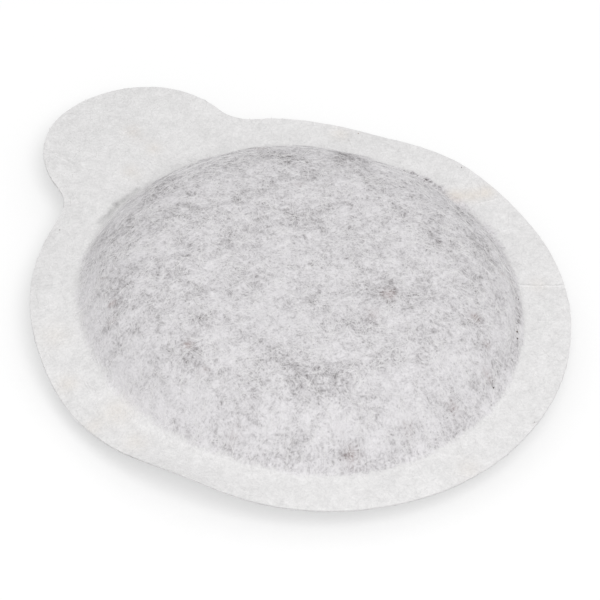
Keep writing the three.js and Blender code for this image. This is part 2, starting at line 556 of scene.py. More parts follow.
def turn_section(name, section, columns):
    """Draw a section in millimetres point by point, and spin it once round the upright axis."""
    piece = start_piece(name)
    bpy.ops.mesh.merge(type="CENTER")
    bpy.ops.transform.translate(value=(section[0, 0] * MM, 0, section[0, 1] * MM))
    for out, up in np.diff(section, axis=0) * MM:
        bpy.ops.mesh.extrude_region_move(TRANSFORM_OT_translate={"value": (out, 0, up)})
    bpy.ops.mesh.select_all(action="SELECT")
    bpy.ops.mesh.spin(steps=columns, angle=math.tau, center=(0, 0, 0), axis=(0, 0, 1))
    bpy.ops.mesh.select_all(action="SELECT")
    bpy.ops.mesh.remove_doubles(threshold=WELD_DISTANCE)
    bpy.ops.mesh.normals_make_consistent(inside=False)
    bpy.ops.object.mode_set(mode="OBJECT")
    return piece


def vertices_of(piece):
    """A mesh's vertices in millimetres."""
    values = np.empty(len(piece.data.vertices) * 3)
    piece.data.vertices.foreach_get("co", values)
    return values.reshape(-1, 3) / MM


def set_vertices(piece, points):
    """Move a mesh's vertices to places in millimetres."""
    piece.data.vertices.foreach_set("co", (points * MM).ravel())
    piece.data.update()


def face_outwards(piece, side):
    """Turn an open sheet's faces over if they look the wrong way."""
    normals = np.empty(len(piece.data.polygons) * 3)
    piece.data.polygons.foreach_get("normal", normals)
    if normals[2::3].mean() * side < 0:
        piece.data.flip_normals()


def set_on_outline(piece):
    """Swing each column of a turned sheet to its place on the cut edge, and curl the seal."""
    points = vertices_of(piece)
    radius = np.hypot(points[:, 0], points[:, 1])
    column = np.rint(np.arctan2(points[:, 1], points[:, 0]) / math.tau * COLUMNS).astype(int) % COLUMNS
    edge = cut_edge(COLUMNS)[column]
    bearing = np.arctan2(edge[:, 1], edge[:, 0])
    share = np.clip((radius - SEAL_START) / (DISC_RADIUS - SEAL_START), 0, None)
    reach = radius + share * (np.hypot(edge[:, 0], edge[:, 1]) - DISC_RADIUS)
    height = SEAL_HEIGHT + points[:, 2] + share**2 * seal_wave(bearing)
    set_vertices(piece, np.stack([reach * np.cos(bearing), reach * np.sin(bearing), height], 1))


def paint(piece, name, values):
    """Keep one number for each vertex of a piece, for its material to read."""
    layer = piece.data.attributes.new(name, "FLOAT", "POINT")
    layer.data.foreach_set("value", np.asarray(values, dtype=np.float32))


def weigh(piece, name, weights):
    """Keep a weight for each vertex of a piece, for its modifiers to read."""
    group = piece.vertex_groups.new(name=name)
    for index, weight in enumerate(weights.tolist()):
        if weight > 0:
            group.add([index], weight, "REPLACE")


def apply_modifier(piece, kind, **settings):
    """Put one modifier on a piece and apply it."""
    modifier = piece.modifiers.new(kind.title(), kind)
    for name, value in settings.items():
        setattr(modifier, name, value)
    select_only(piece)
    bpy.ops.object.modifier_apply(modifier=modifier.name)


def roughen(piece, size, height, group="", direction="NORMAL", middle=0.5):
    """Push a surface in and out by a cloudy pattern of one size, both in millimetres."""
    texture = bpy.data.textures.new(f"{piece.name} relief", type="CLOUDS")
    texture.noise_scale = size * MM
    texture.noise_depth = 2
    apply_modifier(
        piece,
        "DISPLACE",
        texture=texture,
        strength=height * MM,
        mid_level=middle,
        vertex_group=group,
        direction=direction,
        texture_coords="LOCAL",
    )


def finish_piece(piece, material, slot, *nodes):
    """Smooth and paint a finished piece, ride it on the pod's body, and let it stand for its node."""
    piece.data.materials.clear()
    piece.data.materials.append(material)
    select_only(piece)
    bpy.ops.object.shade_smooth_by_angle(angle=math.radians(SMOOTH_ANGLE))
    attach(piece, "root")
    if nodes:
        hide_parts(*nodes)


def add_node(tree, kind, inputs=(), output=0, **settings):
    """Add a node, fill its inputs, given in order or by name, and give back one of its outputs."""
    made = tree.nodes.new(f"ShaderNode{kind}")
    for name, value in settings.items():
        setattr(made, name, value)
    by_key = inputs if isinstance(inputs, dict) else dict(enumerate(inputs))
    for key, value in by_key.items():
        if isinstance(value, bpy.types.NodeSocket):
            tree.links.new(value, made.inputs[key])
        else:
            made.inputs[key].default_value = value
    return made.outputs[output] if made.outputs else made


def new_material(name):
    """A material with an empty node tree."""
    material = bpy.data.materials.new(name)
    material.use_nodes = True
    material.node_tree.nodes.clear()
    return material, material.node_tree


def add_shares(tree, total, parts):
    """A total to which each part of a pattern adds itself times its share."""
    for part, share in parts:
        if share:
            total = add_node(tree, "Math", (part, share, total), operation="MULTIPLY_ADD")
    return total


def layer_sum(tree, total, layers, column):
    """A total to which each layer of the sheet adds as much as one column of their list says."""
    return add_shares(tree, total, [(layers[name], row[column]) for name, row in LAYERS.items()])


def drawn_out(tree, place, sizes, turn=0):
    """A cloudy pattern drawn out along one way, its sizes in millimetres and its turn in degrees."""
    stretch = {
        "Vector": place,
        "Rotation": (0, 0, math.radians(turn)),
        "Scale": tuple(size * MM for size in sizes),
    }
    turned = add_node(tree, "Mapping", stretch, vector_type="TEXTURE")
    return add_node(tree, "TexNoise", {"Vector": turned, "Scale": 1.0, "Detail": 1.0})


def wavering(tree, place, size):
    """Places pushed aside by up to half a size in millimetres, so that straight patterns waver."""
    sway = add_node(tree, "TexNoise", {"Vector": place, "Scale": 1 / (size * MM)}, output="Color")
    sway = add_node(tree, "VectorMath", (sway, (0.5, 0.5, 0.5)), operation="SUBTRACT")
    sway = add_node(tree, "VectorMath", {0: sway, "Scale": size * MM}, operation="SCALE")
    return add_node(tree, "VectorMath", (place, sway), operation="ADD")


def top_fibres(tree, place):
    """The fibres that lie uppermost: 1 along each, in three directions."""
    fibres = 0.0
    for turn in TOP_TURNS:
        lines = drawn_out(tree, place, TOP_FIBRE, turn)
        away = add_node(tree, "Math", (lines, 0.5), operation="SUBTRACT")
        away = add_node(tree, "Math", (away,), operation="ABSOLUTE")
        line = add_node(tree, "Math", (away, -7.0, 1.0), operation="MULTIPLY_ADD", use_clamp=True)
        fibres = add_node(tree, "Math", (fibres, line), operation="MAXIMUM")
    return fibres


def fibre_web(tree, place):
    """The web of fibres within the sheet: above 0 where they cross, and below it in the gaps."""
    lines = [(drawn_out(tree, place, WEB_FIBRE, turn), 1.0) for turn in WEB_TURNS]
    return add_shares(tree, -0.5 * len(lines), lines)


def drawn_streaks(tree, place, flat):
    """Streaks of the wall, where the wet sheet was drawn up it in front and round it at the sides."""
    out = add_node(tree, "VectorMath", (flat,), operation="NORMALIZE")
    out = add_node(tree, "VectorMath", {0: out, "Scale": CAKE_RADIUS * MM}, operation="SCALE")
    height = add_node(tree, "VectorMath", (place, (0, 0, 1)), operation="MULTIPLY")
    wall = add_node(tree, "VectorMath", (out, height), operation="ADD")
    total = 0.0
    for name, sizes in (("drawn_up", STREAK_UP), ("drawn_round", STREAK_ROUND)):
        share = add_node(tree, "Attribute", output="Fac", attribute_name=name)
        lines = add_node(tree, "Math", (drawn_out(tree, wall, sizes), 0.5), operation="SUBTRACT")
        total = add_node(tree, "Math", (lines, share, total), operation="MULTIPLY_ADD")
    return total


def pores(tree, place):
    """Single gaps right through the sheet: 1 in the middle of each, at about two in three of the places."""
    away = {"Vector": place, "Scale": 1 / (PORE_SPACING * MM)}
    away = add_node(tree, "TexVoronoi", away, output="Distance")
    chance = add_node(tree, "SeparateColor", (away.node.outputs["Color"],))
    chance = add_node(tree, "Math", (chance, 0.35), operation="GREATER_THAN")
    pore = add_node(tree, "Math", (away, -3.0, 1.0), operation="MULTIPLY_ADD", use_clamp=True)
    return add_node(tree, "Math", (pore, chance), operation="MULTIPLY")


def crease(tree, flat, start, end, width):
    """1 on the line between two places of the sheet, falling to 0 at its width, all in millimetres."""
    first = Vector((*start, 0)) * MM
    along = Vector((*end, 0)) * MM - first
    offset = add_node(tree, "VectorMath", (flat, first), operation="SUBTRACT")
    share = add_node(tree, "VectorMath", (offset, along), output="Value", operation="DOT_PRODUCT")
    share = add_node(tree, "Math", (share, along.length_squared), operation="DIVIDE", use_clamp=True)
    nearest = add_node(tree, "VectorMath", {0: along, "Scale": share}, operation="SCALE")
    away = add_node(tree, "VectorMath", (offset, nearest), output="Value", operation="DISTANCE")
    return add_node(tree, "Math", (away, -1 / (width * MM), 1.0), operation="MULTIPLY_ADD", use_clamp=True)


def filter_paper(name, settings):
    """Filter paper, wet laid and heat sealed: matt and cloudy, with coffee seen dimly between its fibres."""
    material, tree = new_material(name)
    place = add_node(tree, "TexCoord", output="Object")
    swayed = wavering(tree, place, WAVER)
    flat = add_node(tree, "VectorMath", (place, (1, 1, 0)), operation="MULTIPLY")
    coffee, thin_places_and_painted_light, brown, cream = (
        add_node(tree, "Attribute", output="Fac", attribute_name=layer)
        for layer in ("coffee", "thin_places_and_painted_light", "brown", "cream")
    )

    # The layers of the sheet, which all vary about 0 or up from it.
    layers = {
        "web": fibre_web(tree, swayed),
        "streaks": drawn_streaks(tree, swayed, flat),
        "fibres": top_fibres(tree, swayed),
        "creases": add_shares(tree, 0.0, [(crease(tree, flat, *line), rise) for *line, rise in CREASES]),
    }
    for layer, size, roughness in FORMATION:
        noise = {"Vector": place, "Scale": 1 / (size * MM), "Detail": 2.0, "Roughness": roughness}
        noise = add_node(tree, "TexNoise", noise)
        layers[layer] = add_node(tree, "Math", (noise, 0.5), operation="SUBTRACT")

    # How thin the sheet is at each place, about 0. The coffee seen through it grows as a square, because a
    # second layer of fibres hides a share of what the first lets through.
    # The thin places also carry the foot's painted light and painted shade.
    thinness = add_node(tree, "Math", (thin_places_and_painted_light, settings.patchiness), operation="MULTIPLY")
    thinness = layer_sum(tree, thinness, layers, THINS)
    gap = add_node(tree, "Math", (thinness, 0.5, 1.0), operation="MULTIPLY_ADD")
    gap = add_node(tree, "Math", (gap, 0.0), operation="MAXIMUM")
    gap = add_node(tree, "Math", (gap, 2.0), operation="POWER")
    seen = add_node(tree, "Math", (gap, settings.show_through), operation="MULTIPLY")

    # Pores open where the sheet is thin.
    open_sheet = add_node(tree, "Math", (thinness, 0.8, 0.3), operation="MULTIPLY_ADD", use_clamp=True)
    pore = add_node(tree, "Math", (pores(tree, swayed), open_sheet), operation="MULTIPLY")
    seen = add_node(tree, "Math", (pore, PORE_SHOWS, seen), operation="MULTIPLY_ADD")

    # The coffee ends raggedly at the foot.
    ragged = add_shares(tree, coffee, [(layers["flocs"], 1.0), (layers["clouds"], 0.5)])
    inside = {"Value": ragged, "From Min": 0.25, "From Max": 0.75}
    inside = add_node(tree, "MapRange", inside, interpolation_type="SMOOTHSTEP")
    seen = add_node(tree, "Math", (seen, inside), operation="MULTIPLY", use_clamp=True)

    # Brown grains lie close under the sheet.
    shade = add_node(tree, "Math", (brown, BROWN_SHARE), operation="MULTIPLY", use_clamp=True)
    shade = {"Factor": shade, "A": with_alpha(settings.seen_colour), "B": BROWN}
    shade = add_node(tree, "Mix", shade, output="Result", data_type="RGBA")
    grains = add_node(tree, "Math", (layers["ends"], 5.0, 0.2), operation="MULTIPLY_ADD", use_clamp=True)
    grains = add_node(tree, "Math", (brown, grains), operation="MULTIPLY")
    seen = add_node(tree, "Math", (grains, GRAIN_SHOWS, seen), operation="MULTIPLY_ADD")

    # Cream marks tint the paper. Light that comes back from the coffee through the whole sheet is scattered
    # on its way, which leaves a violet grey veil. The coffee that is seen through the gaps lies over both.
    tint = add_node(tree, "Math", (cream, CREAM_SHARE), operation="MULTIPLY", use_clamp=True)
    veil = add_node(tree, "Math", (inside, settings.veil), operation="MULTIPLY")
    colour = with_alpha(settings.colour)
    for share, other in ((tint, CREAM), (veil, VEILED), (seen, shade)):
        colour = {"Factor": share, "A": colour, "B": other}
        colour = add_node(tree, "Mix", colour, output="Result", data_type="RGBA")

    # Thick stock is a little lighter. A crease is also painted: lighter along a ridge as painted highlight,
    # and darker along a valley as painted shade.
    tone = layer_sum(tree, 1.0, layers, LIGHTENS)
    colour = add_node(tree, "VectorMath", {0: colour, "Scale": tone}, operation="SCALE")

    relief = layer_sum(tree, 0.0, layers, RISES)
    bumps = add_node(tree, "Bump", {"Height": relief, "Strength": 0.7, "Distance": 0.1 * MM})
    surface = {
        "Base Color": colour,
        "Roughness": 0.9,
        "Specular IOR Level": 0.3,
        "Sheen Weight": 0.12,
        "Sheen Roughness": 0.6,
        "Normal": bumps,
    }
    surface = add_node(tree, "BsdfPrincipled", surface)
    add_node(tree, "OutputMaterial", {"Surface": surface})
    return material


def loose_fibre(settings):
    """Cellulose fibre, bleached: a little brighter than the sheet and softly lustrous."""
    material, tree = new_material("bleached_fibre")
    place = add_node(tree, "TexCoord", output="Object")
    shade = add_node(tree, "TexNoise", {"Vector": place, "Scale": 1 / (0.6 * MM)})
    dark = tuple(channel * 0.94 for channel in settings.colour)
    ends = {"Factor": shade, "A": with_alpha(settings.colour), "B": with_alpha(dark)}
    colour = add_node(tree, "Mix", ends, output="Result", data_type="RGBA")
    surface = {"Base Color": colour, "Roughness": 0.7, "Sheen Weight": 0.2}
    surface = add_node(tree, "BsdfPrincipled", surface)
    add_node(tree, "OutputMaterial", {"Surface": surface})
    return material


def ground_coffee(settings):
    """Ground coffee, dark roasted and pressed: matt brown grains with paler chaff, and painted shade in the
    pits.
    """
    material, tree = new_material("pressed_ground_coffee")
    place = add_node(tree, "TexCoord", output="Object")
    pits = add_node(tree, "TexVoronoi", {"Vector": place, "Scale": 1 / settings.grain}, output="Distance")
    pick = add_node(tree, "SeparateColor", (pits.node.outputs["Color"],))
    fines = {"Vector": place, "Scale": 1 / (0.15 * MM), "Detail": 3.0, "Roughness": 0.7}
    fines = add_node(tree, "TexNoise", fines)
    chaff = add_node(tree, "Math", (pick, 1 - CHAFF_SHARE), operation="GREATER_THAN")
    # The pits between grains are darkened towards black, as painted shade.
    pit_shade = add_node(tree, "Math", (pits, 0.8), operation="MULTIPLY", use_clamp=True)
    colour = with_alpha(settings.dark_roast)
    for share, other in ((pick, with_alpha(settings.light_roast)), (chaff, CHAFF), (pit_shade, PIT_SHADE)):
        colour = {"Factor": share, "A": colour, "B": other}
        colour = add_node(tree, "Mix", colour, output="Result", data_type="RGBA")
    relief = add_node(tree, "Math", (fines, 0.4), operation="MULTIPLY")
    relief = add_node(tree, "Math", (relief, pits), operation="SUBTRACT")
    bumps = add_node(tree, "Bump", {"Height": relief, "Strength": 0.9, "Distance": 0.15 * MM})
    surface = {"Base Color": colour, "Roughness": 0.85, "Specular IOR Level": 0.4, "Normal": bumps}
    surface = add_node(tree, "BsdfPrincipled", surface)
    add_node(tree, "OutputMaterial", {"Surface": surface})
    return material


def make_sheet(name, height, side, settings, relief):
    """One paper: its outer face turned, set on the outline, roughened, painted and given its thickness."""
    sheet = turn_section(name, paper_section(height, side, settings), COLUMNS)
    face_outwards(sheet, side)
    set_on_outline(sheet)
    points = vertices_of(sheet)
    radius = np.hypot(points[:, 0], points[:, 1])
    bearing = np.arctan2(points[:, 1], points[:, 0])
    degrees = np.degrees(bearing) % 360
    upper = 1.0 if side > 0 else 0.0
    points[:, 2] += upper * rings(radius, degrees, RING_RISE)
    set_vertices(sheet, points)
    on_cake = 1 - smooth_step(radius, CAKE_RADIUS - COFFEE_RELIEF_FADE, SEAL_START)
    weigh(sheet, "on_cake", on_cake)
    weigh(sheet, "on_seal", smooth_step(radius, SEAL_START, SEAL_START + SEAL_RELIEF_FADE))
    weigh(sheet, "thick", np.maximum(on_cake, LEAST_WEIGHT))
    for size, rise in relief:
        roughen(sheet, size, rise, "on_cake", middle=0.5 if side > 0 else 1.0)
    # The two sheets of the seal are one, so they rise and fall together.
    for size, rise in SEAL_RELIEF:
        roughen(sheet, size, rise, "on_seal", direction="Z")

    ends_at, softness = coffee_and_shade_edge(bearing)
    wall = smooth_step(radius, *WALL_BEGINS) * (1 - smooth_step(radius, *WALL_ENDS))
    drawn_up = wall * along_arc(degrees, *DRAWN_UP_ARC)
    drawn_round = wall * sum(along_arc(degrees, *arc) for arc in DRAWN_ROUND_ARCS)
    # The rings' strengths hold gathered coffee, and also painted highlight, painted shade and painted light at
    # the foot.
    foot = rings(radius, degrees, RING_STRENGTH)
    groove = np.clip(foot, 0, 1) * smooth_step(radius, *GROOVE_BEGINS)
    # Past the foot on the right, this coffee mask also lays painted shade on the seal.
    paint(sheet, "coffee", np.clip(0.5 + (ends_at - radius) / softness, 0, 1))
    paint(sheet, "thin_places_and_painted_light", upper * (spots(points, CROWN_PATCHES) + foot))
    paint(sheet, "brown", upper * spots(points, BROWN_GRAINS))
    paint(sheet, "cream", upper * spots(points, CREAM_MARKS))
    paint(sheet, "drawn_up", np.maximum(drawn_up, upper * GROOVE_STREAKS * groove))
    paint(sheet, "drawn_round", drawn_round * upper * (1 - groove))
    apply_modifier(
        sheet,
        "SOLIDIFY",
        thickness=settings.thickness,
        offset=-1,
        use_even_offset=True,
        use_quality_normals=True,
        vertex_group="thick",
        thickness_vertex_group=settings.pressed_thickness / settings.thickness,
    )
    return sheet


def scatter(sheet, side, inner, outer, count, random):
    """Random places on the outer face of a sheet between two radii, in metres, evenly over its area."""
    faces = sheet.data.polygons
    centres = np.empty(len(faces) * 3)
    normals = np.empty(len(faces) * 3)
    areas = np.empty(len(faces))
    faces.foreach_get("center", centres)
    faces.foreach_get("normal", normals)
    faces.foreach_get("area", areas)
    centres = centres.reshape(-1, 3)
    radius = np.hypot(centres[:, 0], centres[:, 1]) / MM
    outside = (normals[2::3] * side > OUTWARD) & (radius > inner) & (radius < outer)
    chance = np.where(outside, areas, 0)
    picked = random.choice(len(faces), count, p=chance / chance.sum())
    return centres[picked] + random.normal(0, SCATTER * MM, (count, 3))


def heading_of(place, normal, random):
    """Which way a fibre sets off: the way the sheet was drawn on the wall, and any way elsewhere."""
    bearing = math.degrees(math.atan2(place.y, place.x)) % 360
    out = Vector((place.x, place.y, 0)).normalized()
    around = Vector((0, 0, 1)).cross(out)
    turn = random.uniform(0, math.tau)
    if abs(normal.z) < WALL_NORMAL:
        drawn_up = RUN_UP[0] < bearing < RUN_UP[1]
        turn = (0 if drawn_up else math.pi / 2) + random.normal(0, STRAY)
    heading = math.cos(turn) * out + math.sin(turn) * around
    return (heading - heading.dot(normal) * normal).normalized()


def lay_fibre(surface, start, length, settings, random):
    """Follow the sheet from a start, with a lazy curl, and give the points of one fibre."""
    place, normal, _, _ = surface.find_nearest(Vector(start))
    heading = heading_of(place, normal, random)
    curl = random.normal(0, CURL)
    lift = settings.lift * random.exponential(1.0)
    step = length / (settings.points - 1)
    points = []
    for index in range(settings.points):
        arch = math.sin(math.pi * index / (settings.points - 1))
        point = place + normal * (lift * arch)
        point.z = max(point.z, settings.radius)
        points.append(point)
        heading = Matrix.Rotation(curl + random.normal(0, CURL_WAVER), 3, normal) @ heading
        place, normal, _, _ = surface.find_nearest(place + heading * step)
        heading = (heading - heading.dot(normal) * normal).normalized()
    return points


def place_below(surface, x, y):
    """The place on a surface straight under x and y in millimetres."""
    place, _, _, _ = surface.ray_cast(Vector((x * MM, y * MM, ABOVE)), Vector((0, 0, -1)))
    if place is None:
        raise RuntimeError(f"no paper under {x}, {y}")
    return place


def fibres_from(name, paths, radius):
    """A piece made of many thin fibres, each a short tube with tapered ends."""
    # Thousands of fibres are too many to draw by hand, so the curve gets them as splines.
    curve = bpy.data.curves.new(name, "CURVE")
    curve.dimensions = "3D"
    curve.bevel_depth = radius
    curve.bevel_resolution = 0
    curve.use_fill_caps = True
    for path in paths:
        spline = curve.splines.new("POLY")
        spline.points.add(len(path) - 1)
        spline.points.foreach_set("co", [value for point in path for value in (*point, 1)])
        spline.points[0].radius = FIBRE_TIP
        spline.points[-1].radius = FIBRE_TIP
    piece = bpy.data.objects.new(name, curve)
    bpy.context.collection.objects.link(piece)
    select_only(piece)
    bpy.ops.object.convert(target="MESH")
    return bpy.context.object


class PodPaperSettings(bpy.types.PropertyGroup):
    """Sizes and colours of the two papers."""

    thickness: bpy.props.FloatProperty(
        name="Thickness", description="Paper over the coffee", default=0.15 * MM, unit="LENGTH", precision=5
    )
    pressed_thickness: bpy.props.FloatProperty(
        name="Seal thickness", description="Paper in the seal", default=0.1 * MM, unit="LENGTH", precision=5
    )
    show_through: bpy.props.FloatProperty(
        name="Show-through", description="Share of coffee seen", default=0.22, min=0, max=1, subtype="FACTOR"
    )
    veil: bpy.props.FloatProperty(
        name="Veil", description="Even grey over the coffee", default=0.1, min=0, max=1, subtype="FACTOR"
    )
    patchiness: bpy.props.FloatProperty(
        name="Patchiness", description="How soft patches show", default=1.0, min=0, max=1, subtype="FACTOR"
    )
    colour: bpy.props.FloatVectorProperty(
        name="Paper", description="Colour of the dry paper", default=linear("#EDECEC"), subtype="COLOR"
    )
    seen_colour: bpy.props.FloatVectorProperty(
        name="Coffee seen", description="Coffee seen through it", default=linear("#534A4C"), subtype="COLOR"
    )


class PodCoffeeSettings(bpy.types.PropertyGroup):
    """Sizes and colours of the pressed coffee."""

    grain: bpy.props.FloatProperty(
        name="Grain", description="Size of the ground grains", default=0.5 * MM, unit="LENGTH", precision=5
    )
    dark_roast: bpy.props.FloatVectorProperty(
        name="Dark grain", description="Darkest grains", default=linear("#2A1A11"), subtype="COLOR"
    )
    light_roast: bpy.props.FloatVectorProperty(
        name="Light grain", description="Palest grains", default=linear("#5B3D28"), subtype="COLOR"
    )


class PodFibreSettings(bpy.types.PropertyGroup):
    """Sizes and numbers of the loose fibres."""

    radius: bpy.props.FloatProperty(
        name="Radius", description="Radius of a fibre bundle", default=0.021 * MM, unit="LENGTH", precision=6
    )
    long_radius: bpy.props.FloatProperty(
        name="Long radius", description="Of a long fibre", default=0.035 * MM, unit="LENGTH", precision=6
    )
    length: bpy.props.FloatProperty(
        name="Length", description="Usual length of a fibre", default=2.4 * MM, unit="LENGTH", precision=5
    )
    lift: bpy.props.FloatProperty(
        name="Lift", description="How far a fibre arches up", default=0.012 * MM, unit="LENGTH", precision=6
    )
    points: bpy.props.IntProperty(name="Points", description="Points along one fibre", default=6, min=3)
    on_crown: bpy.props.IntProperty(name="On crown", description="Number on the crown", default=2600, min=0)
    on_wall: bpy.props.IntProperty(name="On the wall", description="Number on the wall", default=1400, min=0)
    on_seal: bpy.props.IntProperty(name="On the seal", description="Number on the seal", default=700, min=0)
    below: bpy.props.IntProperty(name="Underside", description="Number below", default=2200, min=0)
    at_edge: bpy.props.IntProperty(name="At the edge", description="Number at the edge", default=200, min=0)


class PodStageSettings(bpy.types.PropertyGroup):
    """Floor and light."""

    floor_colour: bpy.props.FloatVectorProperty(
        name="Floor", description="Colour of the floor", default=linear("#BEBEBE"), subtype="COLOR"
    )
    floor_glow: bpy.props.FloatProperty(
        name="Floor glow", description="Light added for the camera alone", default=0.54, min=0
    )
    sky_level: bpy.props.FloatProperty(
        name="Sky", description="Light all round, where 1 shows a colour as it is", default=0.6, min=0
    )
    lamp_level: bpy.props.FloatProperty(
        name="Lamp", description="Light at the pod, on the same scale", default=0.46, min=0
    )


class POD_OT_upper_paper(bpy.types.Operator):
    """Make the upper paper, with its dome, foot, seal and tab."""

    bl_idname = "pod.upper_paper"
    bl_label = "Upper paper"

    def execute(self, context):
        settings = context.scene.pod_paper
        sheet = make_sheet("upper_paper", crown_height, 1, settings, UPPER_RELIEF)
        material = filter_paper("filter_paper_upper", settings)
        finish_piece(sheet, material, "filter_paper", "upper_filter_paper")
        return {"FINISHED"}


class POD_OT_lower_paper(bpy.types.Operator):
    """Make the lower paper, with its shallow cup, seal and tab."""

    bl_idname = "pod.lower_paper"
    bl_label = "Lower paper"

    def execute(self, context):
        settings = context.scene.pod_paper
        sheet = make_sheet("lower_paper", base_height, -1, settings, LOWER_RELIEF)
        material = filter_paper("filter_paper_lower", settings)
        finish_piece(sheet, material, "filter_paper", "lower_filter_paper")
        return {"FINISHED"}


class POD_OT_coffee_cake(bpy.types.Operator):
    """Make the cake of pressed coffee between the papers."""

    bl_idname = "pod.coffee_cake"
    bl_label = "Coffee cake"

    def execute(self, context):
        settings = context.scene.pod_coffee
        below = cake_face(base_height, -1, 0)
        above = cake_face(crown_height, 1, 0)[::-1]
        section = np.vstack([below, above])
        section[:, 1] += SEAL_HEIGHT
        length = np.linalg.norm(np.diff(section, axis=0), axis=1).sum()
        section = even_points(section, round(length / CAKE_SPACING))
        cake = turn_section("coffee_cake", section, CAKE_COLUMNS)
        roughen(cake, settings.grain / MM, GRAIN_RELIEF, middle=1.0)
        finish_piece(cake, ground_coffee(settings), "ground_coffee", "coffee_puck")
        return {"FINISHED"}


class POD_OT_fibres(bpy.types.Operator):
    """Lay loose fibres on both papers."""

    bl_idname = "pod.fibres"
    bl_label = "Loose fibres"

    def execute(self, context):
        settings = context.scene.pod_fibres
        material = loose_fibre(context.scene.pod_paper)
        upper = bpy.data.objects["upper_paper"]
        lower = bpy.data.objects["lower_paper"]
        groups = [
            ("crown", upper, 1, 0, CROWN_END, settings.on_crown),
            ("wall", upper, 1, CROWN_END, WALL_END, settings.on_wall),
            ("seal", upper, 1, WALL_END, SEAL_END, settings.on_seal),
            ("underside", lower, -1, 0, SEAL_END, settings.below),
        ]
        for name, sheet, side, inner, outer, count in groups:
            random = np.random.default_rng(SEEDS[name])
            surface = BVHTree.FromObject(sheet, context.evaluated_depsgraph_get())
            paths = []
            for start in scatter(sheet, side, inner, outer, count, random):
                length = settings.length * random.uniform(*FIBRE_LENGTHS)
                paths.append(lay_fibre(surface, start, length, settings, random))
            piece = fibres_from(f"{name}_fibres", paths, settings.radius)
            finish_piece(piece, material, "filter_paper")
        return {"FINISHED"}


class POD_OT_edge_fibres(bpy.types.Operator):
    """Let short torn fibres stand out of the cut edge."""

    bl_idname = "pod.edge_fibres"
    bl_label = "Edge fibres"

    def execute(self, context):
        settings = context.scene.pod_fibres
        random = np.random.default_rng(SEEDS["edge"])
        edge = cut_edge(COLUMNS)
        paths = []
        for index in random.integers(0, COLUMNS, settings.at_edge):
            x, y = edge[index]
            bearing = math.atan2(y, x)
            height = SEAL_HEIGHT + float(seal_wave(np.array([bearing]))[0])
            height += random.uniform(-EDGE_OFFSET, EDGE_OFFSET)
            ahead = edge[(index + 1) % COLUMNS] - edge[index - 1]
            along = Vector((ahead[0], ahead[1], 0)).normalized()
            out = along.cross(Vector((0, 0, 1)))
            sweep = random.normal(0, EDGE_SWEEP)
            heading = (math.cos(sweep) * out + math.sin(sweep) * along).normalized()
            heading.z = random.normal(0, EDGE_RISE)
            length = random.uniform(*EDGE_LENGTH)
            start = Vector((x, y, height)) - out * EDGE_ROOT
            bend = along * random.normal(0, EDGE_BEND)
            steps = [start + heading * length * t + bend * t * t * length for t in (0, 0.25, 0.5, 0.75, 1)]
            paths.append([point * MM for point in steps])
        piece = fibres_from("edge_fibres", paths, settings.radius)
        finish_piece(piece, bpy.data.materials["bleached_fibre"], "filter_paper")
        return {"FINISHED"}


class POD_OT_long_fibres(bpy.types.Operator):
    """Lay the few long fibres that stand out on the foot and the shoulder."""

    bl_idname = "pod.long_fibres"
    bl_label = "Long fibres"

    def execute(self, context):
        settings = context.scene.pod_fibres
        surface = BVHTree.FromObject(bpy.data.objects["upper_paper"], context.evaluated_depsgraph_get())
        paths = []
        for route in LONG_FIBRES:
            route = even_points(np.array(route), 3 * len(route))
            places = [place_below(surface, x, y) for x, y in route]
            paths.append([place + Vector((0, 0, settings.lift)) for place in places])
        piece = fibres_from("long_fibres", paths, settings.long_radius)
        finish_piece(piece, bpy.data.materials["bleached_fibre"], "filter_paper")
        return {"FINISHED"}


class POD_OT_specks(bpy.types.Operator):
    """Scatter the few loose specks of coffee."""

    bl_idname = "pod.specks"
    bl_label = "Coffee specks"

    def execute(self, context):
        random = np.random.default_rng(SEEDS["specks"])
        surface = BVHTree.FromObject(bpy.data.objects["upper_paper"], context.evaluated_depsgraph_get())
        bpy.ops.object.select_all(action="DESELECT")
        made = []
        for x, y, diameter in SPECKS:
            place = place_below(surface, x, y)
            bpy.ops.mesh.primitive_ico_sphere_add(subdivisions=1, radius=diameter / 2 * MM)
            speck = context.object
            rough = random.uniform(*SPECK_ROUGHNESS, (len(speck.data.vertices), 1))
            points = vertices_of(speck) * rough
            points[:, 2] *= SPECK_FLATNESS
            set_vertices(speck, points + np.array(place) / MM + [0, 0, diameter * SPECK_RISE])
            made.append(speck)
        for speck in made:
            speck.select_set(True)
        bpy.ops.object.join()
        piece = context.object
        piece.name = "coffee_specks"
        finish_piece(piece, bpy.data.materials["pressed_ground_coffee"], "ground_coffee")
        return {"FINISHED"}


